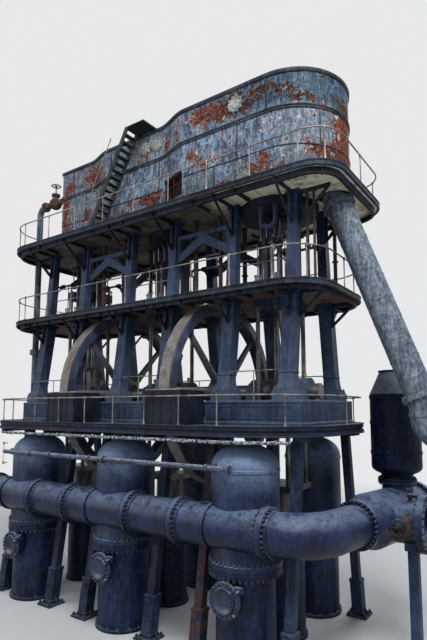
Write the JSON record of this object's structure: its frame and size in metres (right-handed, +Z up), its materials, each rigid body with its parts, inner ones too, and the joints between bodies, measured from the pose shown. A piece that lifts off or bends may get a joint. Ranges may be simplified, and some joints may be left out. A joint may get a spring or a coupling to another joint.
{
  "type": "vertical triple-expansion crank-and-flywheel waterworks pumping engine",
  "caption": "Tall steam pumping engine: a stepped lagged cylinder casing on splayed columns over flywheels, a crankshaft, an operating deck and domed pump chambers in a pit.",
  "frame": {"origin": "centre of the middle plunger barrel's foot, on the pit floor", "axes": "+X along the crankshaft towards the low-pressure cylinder, -Y the front with the discharge main, +Z up"},
  "size_m": [16.6482, 6.9303, 16.64],
  "materials": {
    "blue_gray_paint": "matt",
    "navy_paint": "satin",
    "casing_paint": "matt",
    "pipe_gray_paint": "matt",
    "bright_steel": "satin",
    "wheel_paint": "satin",
    "deck_steel": "matt",
    "gallery_plate": "matt",
    "rail_metal": "satin",
    "stair_iron": "matt"
  },
  "bodies": {
    "root": {"pit_legs": "blue_gray_paint", "plunger_barrels": "navy_paint", "plungers": "bright_steel", "lower_chambers": "navy_paint", "upper_chambers": "navy_paint", "manhole_covers": "navy_paint", "discharge_tees": "pipe_gray_paint", "discharge_pipes": "pipe_gray_paint", "discharge_end_cap": "pipe_gray_paint", "discharge_bend": "pipe_gray_paint", "vessel_tee": "pipe_gray_paint", "tee_stand": "navy_paint", "air_vessel": "navy_paint", "equalizing_pipe": "pipe_gray_paint", "deck_beams": "blue_gray_paint", "operating_deck": "deck_steel", "deck_rail": "rail_metal", "bedplates": "blue_gray_paint", "bearing_caps": "blue_gray_paint", "flywheel_guards": "blue_gray_paint", "crankshaft": "bright_steel", "high_pressure_flywheel": "wheel_paint", "low_pressure_flywheel": "wheel_paint", "connecting_rods": "bright_steel", "crossheads": "blue_gray_paint", "crosshead_guides": "blue_gray_paint", "piston_rods": "bright_steel", "pump_rods": "bright_steel", "lower_columns": "blue_gray_paint", "upper_columns": "blue_gray_paint", "lower_gallery": "gallery_plate", "lower_gallery_brackets": "blue_gray_paint", "lower_gallery_rail": "rail_metal", "upper_gallery": "gallery_plate", "upper_gallery_brackets": "blue_gray_paint", "upper_gallery_rail": "rail_metal", "arch_braces": "blue_gray_paint", "cylinder_bottoms": "blue_gray_paint", "drain_bend": "pipe_gray_paint", "high_pressure_casing": "casing_paint", "intermediate_casing": "casing_paint", "low_pressure_casing": "casing_paint", "stair": "stair_iron", "steam_pipe": "pipe_gray_paint", "throttle_valve": "blue_gray_paint", "exhaust_neck": "pipe_gray_paint", "exhaust_pipe": "pipe_gray_paint", "exhaust_bend": "pipe_gray_paint"}
  },
  "joints": []
}
